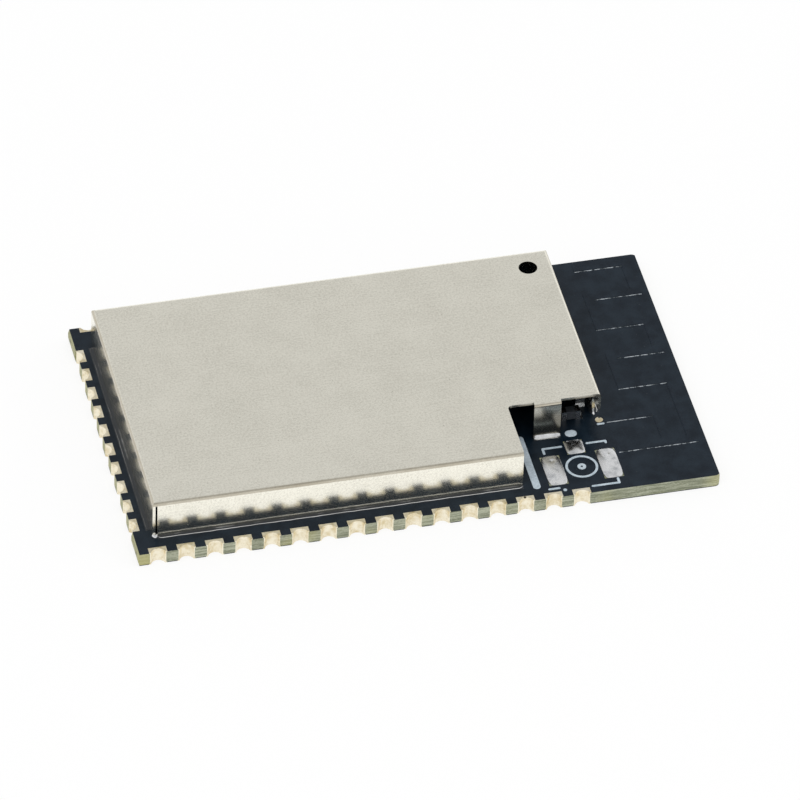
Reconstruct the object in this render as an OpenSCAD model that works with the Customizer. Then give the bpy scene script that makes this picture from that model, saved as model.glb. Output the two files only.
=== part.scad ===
// Surface-mount radio module: a small black board with plated half-round edge contacts,
// a folded sheet-metal shield can, an empty footprint for a miniature coax connector
// and a meander antenna printed beside the can.
// All sizes are in millimetres. Plan positions are measured from the front left corner
// of the board, and the whole part is then moved so that the origin is at the middle
// of the board's underside. +X points to the antenna end, +Z up.

/* [Board] */
// Length of the board over its score lines
board_l = 31.0; // [30.5:0.1:40]
// Width of the board
board_w = 18.0; // [17:0.1:24]
// Thickness of the finished board
board_t = 0.8; // [0.6:0.1:1.6]
// Thickness of the solder mask, and of the copper that lies level with it
film_t = 0.04; // [0.02:0.01:0.06]
// How far the snapped web of a score line stands out at the ends of the board
score_out = 0.07; // [0.03:0.01:0.15]
// Depth of the score line cut from each face
score_depth = 0.25; // [0.15:0.01:0.28]
// Radius of the board corners at the antenna end
corner_r = 0.3; // [0.1:0.05:0.8]

/* [Edge contacts] */
// Distance between neighbouring contacts
pitch = 1.5; // [1.27:0.01:1.6]
// Number of contacts along each long edge
long_count = 16; // [10:1:16]
// Number of contacts along the left short edge
short_count = 10; // [6:1:10]
// Distance from the left end to the first contact of a long edge
first_x = 1.05; // [0.9:0.05:1.4]
// Width of a contact pad along the edge
pad_w = 0.95; // [0.8:0.05:1.1]
// Depth of the pad on the top face, from the edge
pad_d = 0.38; // [0.3:0.01:0.42]
// Depth of the pad on the underside, from the edge
under_d = 1.2; // [0.8:0.1:1.25]
// Diameter of the drilled half hole
hole_d = 0.9; // [0.7:0.05:1.0]
// How far the centre of the half hole lies outside the edge
hole_out = 0.13; // [0:0.01:0.2]
// Thickness of the plating in the half hole
plate_t = 0.05; // [0.03:0.01:0.1]

/* [Shield can] */
// Length of the can
can_l = 24.7; // [24.2:0.1:25]
// Width of the can
can_w = 15.6; // [15:0.1:15.8]
// Height of the can over the board
can_h = 2.3; // [2.1:0.1:3.2]
// Thickness of the sheet
sheet_t = 0.15; // [0.1:0.01:0.25]
// Inner radius of the folds round the top
fold_r = 0.1; // [0.05:0.05:0.4]
// Distance from the left end of the board to the can
can_gap = 1.0; // [0.9:0.05:1.2]
// Width of the open slit where two walls meet
slit_w = 0.1; // [0.05:0.05:0.3]
// Diameter of the vent hole
vent_d = 1.0; // [0.6:0.1:1.6]
// Distance of the vent hole's centre from the right wall and from the back wall
vent_inset = 1.35; // [1.2:0.05:3]
// Length of the cleared corner over the connector footprint
notch_l = 5.05; // [4.8:0.05:5.3]
// Width of the cleared corner, from the front wall to the folded tab
notch_w = 3.5; // [3.3:0.05:3.8]
// Corner radius in the plan of the cleared corner
notch_r = 0.25; // [0.1:0.05:0.6]
// Width of the tab folded down at the back of the cleared corner
tab_w = 1.45; // [0.8:0.05:2]
// Distance from the left side of the cleared corner to the tab
tab_in = 1.42; // [0.8:0.05:2]
// Inner radius of the fold of the tab
tab_r = 0.05; // [0.03:0.01:0.1]
// Length of the gap under the right wall where the antenna line leaves
feed_gap_l = 1.1; // [0.9:0.05:2]
// Height of that gap
feed_gap_h = 1.15; // [0.5:0.05:1.3]

/* [Solder] */
// Height of the solder between a part and its land
solder_t = 0.03; // [0.01:0.01:0.05]
// How far the can's solder reaches out from a wall
toe_l = 0.25; // [0.15:0.01:0.28]
// How far the can's solder climbs a wall
toe_h = 0.12; // [0.05:0.01:0.3]
// How far the solder is drawn up the free end of the right wall
wick_h = 0.5; // [0.2:0.05:0.8]
// How far the can's lands reach in under the can
heel_l = 0.1; // [0.05:0.01:0.2]
// Diameter of the drops of solder at the can's corners
drop_d = 0.36; // [0.25:0.01:0.44]
// Height of the tinned crown on a connector pad
crown_h = 0.08; // [0.03:0.01:0.15]

/* [Connector footprint] */
// Distance between the centres of the two ground pads
ground_span = 2.97; // [2.8:0.01:3.1]
// Width of a ground pad
ground_w = 1.05; // [0.8:0.05:1.1]
// Length of a ground pad
ground_l = 2.28; // [1.8:0.02:2.4]
// Width of the signal pad
signal_w = 1.0; // [0.7:0.05:1.1]
// Length of the signal pad
signal_l = 1.08; // [0.8:0.02:1.1]
// Distance from the footprint's centre to the middle of the signal pad
signal_in = 1.58; // [1.5:0.02:1.6]
// Distance from the front edge of the board to the centre of the footprint
connector_y = 2.02; // [1.95:0.01:2.1]
// Distance from the can's right wall back to the centre of the footprint
connector_in = 1.68; // [1.5:0.02:1.8]

/* [Printed marks] */
// Thickness of the printed ink
ink_t = 0.02; // [0.01:0.01:0.04]
// Width of a printed line
ink_w = 0.13; // [0.08:0.01:0.16]
// Outer diameter of the printed ring
ring_d = 1.72; // [1.5:0.02:1.8]
// Diameter of the printed dot in the ring
dot_d = 0.46; // [0.3:0.02:0.6]
// Width of the printed spot beside the signal pad
spot_d = 0.5; // [0.3:0.02:0.55]
// Width of the printed bar beside the can
bar_w = 0.4; // [0.2:0.02:0.42]
// Distance from the left side of the cleared corner to the middle of the bar
bar_in = 0.7; // [0.5:0.05:0.9]
// Length of the printed bar beside the can
bar_l = 4.05; // [3:0.05:4.1]

/* [Antenna] */
// Width of the antenna track
track_w = 0.5; // [0.3:0.05:0.6]
// Thickness of the antenna track under the solder mask
track_t = 0.02; // [0.01:0.005:0.02]
// Number of arms in the meander
arm_count = 5; // [3:2:7]
// Length of an arm, over the tracks that join it
arm_l = 3.1; // [2.4:0.1:3.3]
// Distance from the antenna to the right end of the board
antenna_end = 0.5; // [0.3:0.05:0.6]
// Distance from the antenna to the back edge of the board
antenna_back = 0.3; // [0.2:0.05:0.8]
// Diameter of the round feed pad
feed_pad_d = 0.42; // [0.3:0.02:0.48]
// Distance from the leg joining the feed line to the right side of the antenna
leg_in = 1.1; // [0.9:0.05:1.3]

/* [Radio chip] */
// Side of the radio chip
chip_s = 7; // [6:0.1:7.2]
// Thickness of the radio chip
chip_t = 0.82; // [0.5:0.01:1.2]
// Number of lands along each side of the chip
chip_pins = 14; // [10:1:14]
// Distance between the chip's lands
chip_pitch = 0.4; // [0.35:0.01:0.41]
// Width of one land
chip_land_w = 0.2; // [0.15:0.01:0.25]
// Length of one land
chip_land_l = 0.6; // [0.4:0.01:0.7]
// How far a land shows beyond the chip
chip_land_out = 0.2; // [0.1:0.01:0.25]
// Side of the ground land under the middle of the chip
chip_pad_s = 4; // [3:0.1:4.6]
// Distance from the can's right wall to the middle of the chip
chip_in = 9.7; // [9.4:0.05:9.9]
// Distance from the can's back wall to the middle of the chip
chip_back = 6.4; // [6.2:0.05:6.6]

/* [Memory chip] */
// Length of the memory chip along its rows of legs
memory_l = 5.2; // [4.8:0.05:5.3]
// Width of the memory chip's body across the legs
memory_w = 5.2; // [3.8:0.05:5.4]
// Thickness of the memory chip's body
memory_t = 1.6; // [1.2:0.05:1.7]
// Width over the legs of the memory chip
memory_span = 7.8; // [7.2:0.05:8.0]
// Gap under the memory chip's body
memory_lift = 0.1; // [0.05:0.01:0.15]
// Number of legs on each side
leg_count = 4; // [3:1:4]
// Distance between the legs
leg_pitch = 1.27; // [1.0:0.01:1.3]
// Width of a leg
leg_w = 0.42; // [0.3:0.01:0.5]
// Thickness of a leg
leg_t = 0.15; // [0.1:0.01:0.2]
// Length of a leg's foot
foot_l = 0.6; // [0.4:0.01:0.65]
// Clear space between the memory chip and the capacitors beside the radio chip
memory_gap = 0.5; // [0.3:0.05:0.6]

/* [Crystal] */
// Length of the crystal
crystal_l = 3.2; // [2.5:0.1:3.3]
// Width of the crystal
crystal_w = 2.5; // [2.0:0.05:2.6]
// Height of the ceramic base
crystal_base_t = 0.5; // [0.3:0.05:0.6]
// Height of the metal lid
crystal_lid_t = 0.2; // [0.1:0.05:0.3]
// Width of the ceramic rim left round the lid
crystal_rim = 0.15; // [0.1:0.01:0.3]
// Clear space between the radio chip and the crystal
crystal_gap = 0.7; // [0.5:0.05:0.8]

/* [Small parts] */
// Length of a small capacitor, resistor or inductor
small_l = 1.0; // [0.9:0.02:1.1]
// Width of such a part
small_w = 0.5; // [0.4:0.02:0.56]
// Height of a small capacitor
cap_t = 0.5; // [0.3:0.02:0.6]
// Height of a resistor
res_t = 0.35; // [0.25:0.01:0.4]
// Height of the antenna line's inductor
coil_t = 0.55; // [0.4:0.01:0.6]
// Length of a metal end on a small part
end_l = 0.25; // [0.15:0.01:0.3]
// How far a metal end stands out over the body of a part
end_proud = 0.02; // [0.01:0.005:0.03]
// How far a land reaches out from the end of its part
land_out = 0.15; // [0.05:0.01:0.18]
// Distance between the small parts in a row
row_pitch = 1.3; // [1.0:0.05:1.4]
// Clear space between the radio chip's body and a row of capacitors
row_gap = 0.6; // [0.5:0.05:0.65]
// Length of the reservoir capacitor
bulk_l = 2.0; // [1.6:0.05:2.1]
// Width of the reservoir capacitor
bulk_w = 1.25; // [0.8:0.05:1.4]
// Height of the reservoir capacitor
bulk_t = 1.25; // [0.6:0.05:1.4]
// Length of its metal ends
bulk_end_l = 0.4; // [0.25:0.05:0.5]

/* [Hidden] */
$fn = 64;

// A little more than a cut needs, so that it clears the face it leaves
over = 1;

// Levels
core_t = board_t - 2 * film_t;
core_top = board_t - film_t;
seat_z = board_t + solder_t;

// Edge contacts
short_start = (board_w - (short_count - 1) * pitch) / 2;
ledge_l = short_start - pad_w / 2 - film_t;
long_places = [for (i = [0 : long_count - 1]) first_x + i * pitch];
short_places = [for (i = [0 : short_count - 1]) short_start + i * pitch];

// Shield can
bend_r = fold_r + sheet_t;
can_x0 = can_gap;
can_x1 = can_gap + can_l;
can_y0 = (board_w - can_w) / 2;
can_y1 = can_y0 + can_w;
wall_h = can_h - bend_r;
tab_bend_r = tab_r + sheet_t;
notch_x = can_x1 - notch_l;
tab_x = notch_x + tab_in;
tab_y = can_y0 + notch_w;
notch_y = tab_y + tab_bend_r;
feed_gap_y = notch_y + feed_gap_l;
land_w = toe_l + sheet_t + heel_l;
drop_shift = drop_d / 3;

// Antenna: the feed line leaves the can through the gap under the right wall
feed_y = notch_y + feed_gap_l / 2 - film_t;
antenna_x1 = board_l - antenna_end;
antenna_x0 = antenna_x1 - arm_l;
arm_pitch = (board_w - antenna_back - track_w / 2 - feed_y) / arm_count;
leg_x = antenna_x1 - leg_in - track_w;
feed_pad_x = can_x1 + feed_pad_d / 4;
ground_leg_x = can_x1 + toe_l + track_w;

// Connector footprint
connector_x = can_x1 - connector_in;

// Parts under the can
chip_x = can_x1 - chip_in;
chip_y = can_y1 - chip_back;
row_x = chip_x - chip_s / 2 - row_gap - small_l / 2;
row_y = chip_y + chip_s / 2 + row_gap + small_l / 2;
memory_x = row_x - small_l / 2 - land_out - memory_gap - memory_l / 2;
memory_y = can_y1 - memory_span / 2 - row_gap - land_out;
crystal_x = chip_x;
crystal_y = chip_y - chip_s / 2 - crystal_gap - crystal_w / 2;
side_x = memory_x - memory_l / 2 - row_gap - land_out - small_l / 2;
match_x = can_x1 - sheet_t - heel_l - row_gap - small_l / 2;
match_y = feed_y + small_w;
bulk_x = memory_x;
bulk_y = memory_y - memory_span / 2 - row_gap - bulk_w / 2 - land_out;

// Places of the small parts: [x, y, turn]
cap_places = concat(
    [for (i = [0 : 3]) [chip_x + (i - 1.5) * row_pitch, row_y, 90]],
    [for (i = [0 : 2]) [row_x, chip_y + (i - 1) * row_pitch, 0]],
    [for (s = [-1, 1]) [crystal_x + s * (crystal_l / 2 + row_gap + small_w / 2), crystal_y, 90]],
    [for (i = [0 : 1]) [chip_x + chip_s / 2 + row_gap + small_l / 2, chip_y + i * row_pitch, 0]],
    [for (s = [0, 1]) [match_x - s * (small_l + row_gap) + small_l / 2 + small_w / 2,
                       match_y + row_pitch, 90]]);
res_places = concat(
    [for (i = [0 : 3]) [side_x, memory_y + (i - 1.5) * row_pitch, 0]],
    [for (i = [0 : 1]) [bulk_x - bulk_l / 2 - row_gap - small_l / 2 - land_out,
                        bulk_y + (i - 0.5) * row_pitch, 0]]);
coil_places = [[match_x, match_y, 0]];
bulk_places = [[bulk_x, bulk_y, 0]];

// ---------------------------------------------------------------- helpers

module on_board() translate([-board_l / 2, -board_w / 2, 0]) children();

// Extrudes a plan shape between two heights
module layer(z0, z1) translate([0, 0, z0]) linear_extrude(z1 - z0) children();

// A plan rectangle given by its corners
module span(x0, y0, x1, y1) translate([x0, y0]) square([x1 - x0, y1 - y0]);

// Puts a child at each contact of one edge; the child's +Y points into the board
module along_front() for (x = long_places) translate([x, 0]) children();
module along_back() for (x = long_places) translate([x, board_w]) mirror([0, 1]) children();
module along_left() for (y = short_places) translate([score_out, y]) rotate(-90) children();
module along_edges() {
    along_front() children();
    along_back() children();
    along_left() children();
}

module at(places) for (p = places) translate([p[0], p[1]]) rotate(p[2]) children();

// ---------------------------------------------------------------- board

module drill() translate([0, -hole_out]) circle(d = hole_d);

module board_plan() {
    span(0, 0, board_l - corner_r, board_w);
    span(board_l - 2 * corner_r, corner_r, board_l, board_w - corner_r);
    for (y = [corner_r, board_w - corner_r]) translate([board_l - corner_r, y]) circle(corner_r);
}

// The part of the plan that both faces keep, inside the score lines
module face_plan() intersection() {
    board_plan();
    span(score_out, 0, board_l - score_out, board_w);
}

// Section of the board along its length, with a half score line at each end
module scored_section() polygon([
    [score_out, 0], [board_l - score_out, 0],
    [board_l, score_depth], [board_l, board_t - score_depth],
    [board_l - score_out, board_t], [score_out, board_t],
    [0, board_t - score_depth], [0, score_depth]]);

module circuit_board() color("#8b8d72") difference() {
    intersection() {
        translate([0, board_w, 0]) rotate([90, 0, 0]) linear_extrude(board_w) scored_section();
        layer(film_t, core_top) board_plan();
    }
    // the left edge is routed between its two corner ledges
    layer(-over, board_t + over) span(-over, ledge_l, score_out, board_w - ledge_l);
    layer(-over, board_t + over) along_edges() drill();
}

// ---------------------------------------------------------------- contacts

module bore() translate([0, -hole_out]) circle(d = hole_d - 2 * plate_t);

module pad_plan(depth) translate([-pad_w / 2, 0]) square([pad_w, depth]);

module barrel_plan() intersection() {
    drill();
    pad_plan(hole_d);
}

module contact() difference() {
    union() {
        layer(0, film_t) pad_plan(under_d);
        layer(0, board_t) barrel_plan();
        layer(core_top, board_t) pad_plan(pad_d);
    }
    layer(-over, board_t + over) bore();
}

module front_contacts() color("#e3cf96") along_front() contact();
module left_contacts() color("#e3cf96") along_left() contact();
module back_contacts() color("#e3cf96") along_back() contact();

// ---------------------------------------------------------------- solder mask

module small_land(l, w, end) for (s = [-1, 1])
    translate([s * (l / 2 - end / 2 + land_out / 2), 0]) square([end + land_out, w], center = true);

module small_lands_plan() {
    at(concat(cap_places, res_places, coil_places)) small_land(small_l, small_w, end_l);
    at(bulk_places) small_land(bulk_l, bulk_w, bulk_end_l);
    memory_lands_plan();
    crystal_lands_plan();
}

module memory_lands_plan() translate([memory_x, memory_y])
    for (s = [-1, 1], i = [0 : leg_count - 1])
        translate([(i - (leg_count - 1) / 2) * leg_pitch, s * (memory_span / 2 - foot_l / 2)])
            square([leg_w, foot_l + 2 * land_out], center = true);

module crystal_lands_plan() translate([crystal_x, crystal_y])
    for (sx = [-1, 1], sy = [-1, 1])
        translate([sx * (crystal_l / 2 - 0.4), sy * (crystal_w / 2 - 0.35)])
            square([1.0, 0.9], center = true);

module chip_land_rows(w) for (a = [0 : 90 : 270]) translate([chip_x, chip_y]) rotate(a)
    translate([0, chip_s / 2 + chip_land_out - chip_land_l / 2]) square([w, chip_land_l], center = true);

module chip_windows_plan() {
    chip_land_rows((chip_pins - 1) * chip_pitch + 2 * chip_land_w);
    translate([chip_x, chip_y]) square(chip_pad_s, center = true);
}

// Lands of the can: four walls and the tab
module can_lands_plan() {
    span(can_x0 + sheet_t + slit_w, can_y0 - toe_l, notch_x, can_y0 - toe_l + land_w);
    span(can_x0 + sheet_t + slit_w, can_y1 + toe_l - land_w, can_x1 - sheet_t - slit_w, can_y1 + toe_l);
    span(can_x0 - toe_l, can_y0 + land_w, can_x0 - toe_l + land_w, can_y1 - land_w);
    span(can_x1 + toe_l - land_w, feed_gap_y, can_x1 + toe_l, can_y1 - land_w);
    span(tab_x, tab_y - toe_l, tab_x + tab_w, tab_y - toe_l + land_w);
}

module connector_grounds_plan() for (s = [-1, 1])
    translate([connector_x + s * ground_span / 2, connector_y]) square([ground_w, ground_l], center = true);

module connector_signal_plan() translate([connector_x, connector_y + signal_in])
    square([signal_w, signal_l], center = true);

module feed_pad_plan() translate([feed_pad_x, feed_y]) circle(d = feed_pad_d);

module film_plan() difference() {
    face_plan();
    along_edges() drill();
    along_edges() pad_plan(pad_d);
    small_lands_plan();
    chip_windows_plan();
    can_lands_plan();
    connector_grounds_plan();
    connector_signal_plan();
    feed_pad_plan();
}

// The mask follows the antenna track: it is hollow under the track and stands up over it
module top_solder_mask() color("#22262b") {
    layer(core_top, core_top + track_t) difference() {
        film_plan();
        antenna_plan();
    }
    layer(core_top + track_t, board_t) film_plan();
    layer(board_t, board_t + track_t) antenna_plan();
}

module bottom_solder_mask() color("#22262b") layer(0, film_t) difference() {
    face_plan();
    along_edges() drill();
    along_edges() pad_plan(under_d);
}

// ---------------------------------------------------------------- antenna

function arm_y(k) = feed_y + k * arm_pitch;

module track(x0, y0, x1, y1)
    span(min(x0, x1) - track_w / 2, min(y0, y1) - track_w / 2,
         max(x0, x1) + track_w / 2, max(y0, y1) + track_w / 2);

module antenna_plan() {
    left = antenna_x0 + track_w / 2;
    right = antenna_x1 - track_w / 2;
    // the meander, from its free end at the back to the leg along the right end
    for (k = [1 : arm_count]) track(left, arm_y(k), right, arm_y(k));
    for (k = [1 : arm_count - 1]) {
        x = (arm_count - k) % 2 == 1 ? right : left;
        track(x, arm_y(k), x, arm_y(k + 1));
    }
    track(right, arm_y(-1), right, arm_y(1));
    // the ground leg, and the feed line that joins it
    track(ground_leg_x, arm_y(-1), right, arm_y(-1));
    track(leg_x, arm_y(-1), leg_x, arm_y(0));
    difference() {
        track(feed_pad_x, arm_y(0), leg_x, arm_y(0));
        feed_pad_plan();
        span(-over, -over, feed_pad_x, board_w);
    }
}

module antenna_track() color("#b87333") layer(core_top, core_top + track_t) antenna_plan();

module feed_pad() color("#e3cf96") layer(core_top, board_t) feed_pad_plan();

// ---------------------------------------------------------------- shield can

// Section of a closed can with two rounded top edges
module can_section(w, h, r) {
    square([w, h - r]);
    translate([r, 0]) square([w - 2 * r, h]);
    for (x = [r, w - r]) translate([x, h - r]) circle(r);
}

// A block with rounded top edges, mitred at its corners as folds are
module can_block(l, w, h, r) intersection() {
    rotate([90, 0, 90]) linear_extrude(l) can_section(w, h, r);
    translate([0, w, 0]) rotate([90, 0, 0]) linear_extrude(w) can_section(l, h, r);
}

// Plan of the cleared corner, with one round corner beside the left side
module notch_plan() {
    span(notch_x + notch_r, can_y0 - over, can_x1 + over, notch_y);
    span(notch_x, can_y0 - over, notch_x + 2 * notch_r, notch_y - notch_r);
    translate([notch_x + notch_r, notch_y - notch_r]) circle(notch_r);
}

// The tab folded down at the back of the cleared corner
module tab() translate([tab_x, tab_y, 0]) rotate([90, 0, 90]) linear_extrude(tab_w) {
    square([sheet_t, can_h - tab_bend_r]);
    translate([tab_bend_r, can_h - tab_bend_r]) intersection() {
        difference() {
            circle(tab_bend_r);
            circle(tab_r);
        }
        translate([-tab_bend_r, 0]) square(tab_bend_r);
    }
}

module shield_can() color("#c8c6be") translate([0, 0, board_t]) {
    difference() {
        translate([can_x0, can_y0, 0]) can_block(can_l, can_w, can_h, bend_r);
        translate([can_x0 + sheet_t, can_y0 + sheet_t, -over])
            can_block(can_l - 2 * sheet_t, can_w - 2 * sheet_t, can_h - sheet_t + over, fold_r);
        // open slits where the front and back walls meet the side walls
        for (x = [can_x0 + sheet_t, can_x1 - sheet_t - slit_w])
            layer(-over, wall_h) span(x, can_y0 - over, x + slit_w, can_y1 + over);
        layer(-over, can_h + over) notch_plan();
        layer(-over, feed_gap_h) span(can_x1 - sheet_t - over, notch_y - over, can_x1 + over, feed_gap_y);
        translate([can_x1 - vent_inset, can_y1 - vent_inset, 0]) cylinder(d = vent_d, h = can_h + over);
    }
    tab();
}

module shield_lands() color("#c9ccd0") layer(core_top, board_t) can_lands_plan();

// A straight fillet of solder along a wall, lying outside it
module fillet(l) rotate([90, 0, 90]) linear_extrude(l) polygon([[0, 0], [-toe_l, 0], [0, toe_h]]);

module shield_solder() color("#d5d8dc") translate([0, 0, board_t]) {
    x0 = can_x0 + sheet_t + slit_w;
    side_l = can_w - 2 * land_w;
    translate([x0, can_y0, 0]) fillet(notch_x - x0);
    translate([can_x1 - sheet_t - slit_w, can_y1, 0]) rotate(180) fillet(can_x1 - sheet_t - slit_w - x0);
    translate([can_x0, can_y1 - land_w, 0]) rotate(-90) fillet(side_l);
    translate([can_x1, feed_gap_y, 0]) rotate(90) fillet(can_y1 - land_w - feed_gap_y);
    translate([tab_x, tab_y, 0]) fillet(tab_w);
    // a drop at the front left corner, and solder on the free end of the right wall
    drop(can_x0 + drop_shift, can_y0);
    translate([can_x1, feed_gap_y, 0]) wick();
}

// Half a drop of solder against the front end of a side wall
module drop(x, y) intersection() {
    translate([x - drop_d / 2, y, 0]) sphere(d = drop_d);
    translate([x - drop_d, y - drop_d, 0]) cube([drop_d, drop_d, drop_d]);
}

// Solder drawn up the free end of the right wall
module wick() translate([-sheet_t, 0, 0]) rotate([90, 0, 90]) linear_extrude(sheet_t)
    polygon([[0, 0], [-toe_l, 0], [0, wick_h]]);

// ---------------------------------------------------------------- connector footprint

// A tinned pad: copper level with the mask, under a low crown of solder
module tinned_pad(x, y, w, l) translate([x, y, 0]) {
    reach = film_t;
    rw = (pow(w / 2 + reach, 2) + pow(crown_h, 2)) / (2 * crown_h);
    rl = (pow(l / 2 + reach, 2) + pow(crown_h, 2)) / (2 * crown_h);
    layer(core_top, board_t) square([w, l], center = true);
    intersection() {
        layer(board_t, board_t + crown_h) square([w, l], center = true);
        translate([0, l, board_t + crown_h - rw]) rotate([90, 0, 0]) cylinder(r = rw, h = 2 * l, $fn = 128);
        translate([-w, 0, board_t + crown_h - rl]) rotate([0, 90, 0]) cylinder(r = rl, h = 2 * w, $fn = 256);
    }
}

module connector_ground_pads() color("#c9ccd0") for (s = [-1, 1])
    tinned_pad(connector_x + s * ground_span / 2, connector_y, ground_w, ground_l);

module connector_signal_pad() color("#c9ccd0")
    tinned_pad(connector_x, connector_y + signal_in, signal_w, signal_l);

// ---------------------------------------------------------------- printed marks

// A printed line with round ends
module stroke(x0, y0, x1, y1, w = ink_w) {
    a = atan2(y1 - y0, x1 - x0);
    d = norm([x1 - x0, y1 - y0]);
    translate([x0, y0]) rotate(a) {
        translate([0, -w / 2]) square([d, w]);
        circle(d = w);
        translate([d, 0]) circle(d = w);
    }
}

module printed_marks() color("#bcc8d4") layer(board_t, board_t + ink_t) {
    gap = (ground_span - ground_w) / 2;
    edge = (ground_span + ground_w) / 2;
    foot = ground_l / 2;
    back = signal_in + ink_w;
    front = -foot - 3.5 * ink_w;
    translate([connector_x, connector_y]) {
        // ring and dot that show where the plug sits
        difference() {
            circle(d = ring_d);
            circle(d = ring_d - 2 * ink_w);
        }
        difference() {
            circle(d = dot_d);
            circle(d = ink_w);
        }
        // outline of the connector, broken at its pads
        stroke(-edge + 2.5 * ink_w, back, -gap + 2 * ink_w, back);
        stroke(-edge + 2.5 * ink_w, back, -edge + 2.5 * ink_w, foot + 1.5 * ink_w);
        stroke(signal_w / 2 + 1.5 * ink_w, back, edge - 2.5 * ink_w, back);
        stroke(edge - 2.5 * ink_w, back, edge - 2.5 * ink_w, back - ink_w);
        stroke(1.5 * ink_w, front, edge - 3 * ink_w, front);
        stroke(edge - 3 * ink_w, front, edge - 3 * ink_w, -foot - ink_w);
        stroke(-edge - ink_w / 2, -foot - 2 * ink_w, -edge + 3.5 * ink_w, -foot - 2 * ink_w);
        translate([-gap - 2.5 * ink_w, front]) circle(d = 1.5 * ink_w);
        // spot beside the signal pad
        stroke(0, signal_in + signal_l / 2 + spot_d, ink_w, signal_in + signal_l / 2 + spot_d, spot_d);
    }
    // bar beside the can
    bar_x = notch_x + bar_in;
    bar_y = connector_y - foot;
    stroke(bar_x, bar_y + bar_w / 4, bar_x, bar_y + bar_l - bar_w / 2, bar_w);
    // short line in front of the feed pad
    mark_y = feed_y - feed_pad_d / 2 - ink_w;
    stroke(feed_pad_x - feed_pad_d / 3, mark_y, feed_pad_x + feed_pad_d / 3, mark_y);
}

// ---------------------------------------------------------------- parts under the can

module radio_chip() color("#2b2c2e") layer(seat_z, seat_z + chip_t)
    translate([chip_x, chip_y]) square(chip_s, center = true);

module radio_chip_lands() color("#c9ccd0") layer(core_top, seat_z) {
    translate([chip_x, chip_y]) {
        square(chip_pad_s, center = true);
        for (a = [0 : 90 : 270], i = [0 : chip_pins - 1]) rotate(a)
            translate([(i - (chip_pins - 1) / 2) * chip_pitch, chip_s / 2 + chip_land_out - chip_land_l / 2])
                square([chip_land_w, chip_land_l], center = true);
    }
}

module memory_chip() color("#2b2c2e") layer(seat_z + memory_lift, seat_z + memory_lift + memory_t)
    translate([memory_x, memory_y]) square([memory_l, memory_w], center = true);

// Side view of a bent leg: foot on the board, riser, shoulder against the body
module leg_section() {
    reach = (memory_span - memory_w) / 2;
    shoulder = memory_lift + memory_t / 2;
    polygon([[0, shoulder], [0, shoulder - leg_t],
             [reach - foot_l - leg_t / 2, shoulder - leg_t], [reach - foot_l, 0],
             [reach, 0], [reach, leg_t],
             [reach - foot_l + leg_t, leg_t], [reach - foot_l + leg_t / 2, shoulder]]);
}

module memory_chip_legs() color("#c9ccd0") translate([memory_x, memory_y, seat_z])
    for (a = [0, 180], i = [0 : leg_count - 1]) rotate(a)
        translate([(i - (leg_count - 1) / 2) * leg_pitch - leg_w / 2, memory_w / 2, 0])
            rotate([90, 0, 90]) linear_extrude(leg_w) leg_section();

module crystal_base() color("#6e6a60") layer(seat_z, seat_z + crystal_base_t)
    translate([crystal_x, crystal_y]) square([crystal_l, crystal_w], center = true);

module crystal_lid() color("#d8c79a")
    layer(seat_z + crystal_base_t, seat_z + crystal_base_t + crystal_lid_t)
        translate([crystal_x, crystal_y])
            square([crystal_l - 2 * crystal_rim, crystal_w - 2 * crystal_rim], center = true);

// A chip part is a body between two metal ends, which are a little larger
module small_bodies(places, l, w, t, end) layer(seat_z + end_proud, seat_z + t - end_proud)
    at(places) square([l - 2 * end, w - 2 * end_proud], center = true);

module small_ends(places, l, w, t, end) layer(seat_z, seat_z + t)
    at(places) for (s = [-1, 1]) translate([s * (l - end) / 2, 0]) square([end, w], center = true);

module capacitor_bodies() color("#b59b78") small_bodies(cap_places, small_l, small_w, cap_t, end_l);
module capacitor_ends() color("#c9ccd0") small_ends(cap_places, small_l, small_w, cap_t, end_l);
module reservoir_capacitor_body() color("#b59b78") small_bodies(bulk_places, bulk_l, bulk_w, bulk_t, bulk_end_l);
module reservoir_capacitor_ends() color("#c9ccd0") small_ends(bulk_places, bulk_l, bulk_w, bulk_t, bulk_end_l);
module resistor_bodies() color("#1e1f22") small_bodies(res_places, small_l, small_w, res_t, end_l);
module resistor_ends() color("#c9ccd0") small_ends(res_places, small_l, small_w, res_t, end_l);
module inductor_body() color("#5d7f9c") small_bodies(coil_places, small_l, small_w, coil_t, end_l);
module inductor_ends() color("#c9ccd0") small_ends(coil_places, small_l, small_w, coil_t, end_l);

module part_lands() color("#c9ccd0") layer(core_top, seat_z) small_lands_plan();

// ---------------------------------------------------------------- the part

on_board() circuit_board();
on_board() top_solder_mask();
on_board() bottom_solder_mask();
on_board() front_contacts();
on_board() left_contacts();
on_board() back_contacts();
on_board() shield_can();
on_board() shield_lands();
on_board() shield_solder();
on_board() connector_ground_pads();
on_board() connector_signal_pad();
on_board() printed_marks();
on_board() antenna_track();
on_board() feed_pad();
on_board() radio_chip();
on_board() radio_chip_lands();
on_board() memory_chip();
on_board() memory_chip_legs();
on_board() crystal_base();
on_board() crystal_lid();
on_board() capacitor_bodies();
on_board() capacitor_ends();
on_board() reservoir_capacitor_body();
on_board() reservoir_capacitor_ends();
on_board() resistor_bodies();
on_board() resistor_ends();
on_board() inductor_body();
on_board() inductor_ends();
on_board() part_lands();
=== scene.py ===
"""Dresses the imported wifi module: a finish for every piece, formed solder, a studio and a camera."""

import logging
import math
import random
from dataclasses import dataclass
from dataclasses import field
from enum import Enum

import bmesh
import bpy
from mathutils import Matrix
from mathutils import Vector


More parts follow.
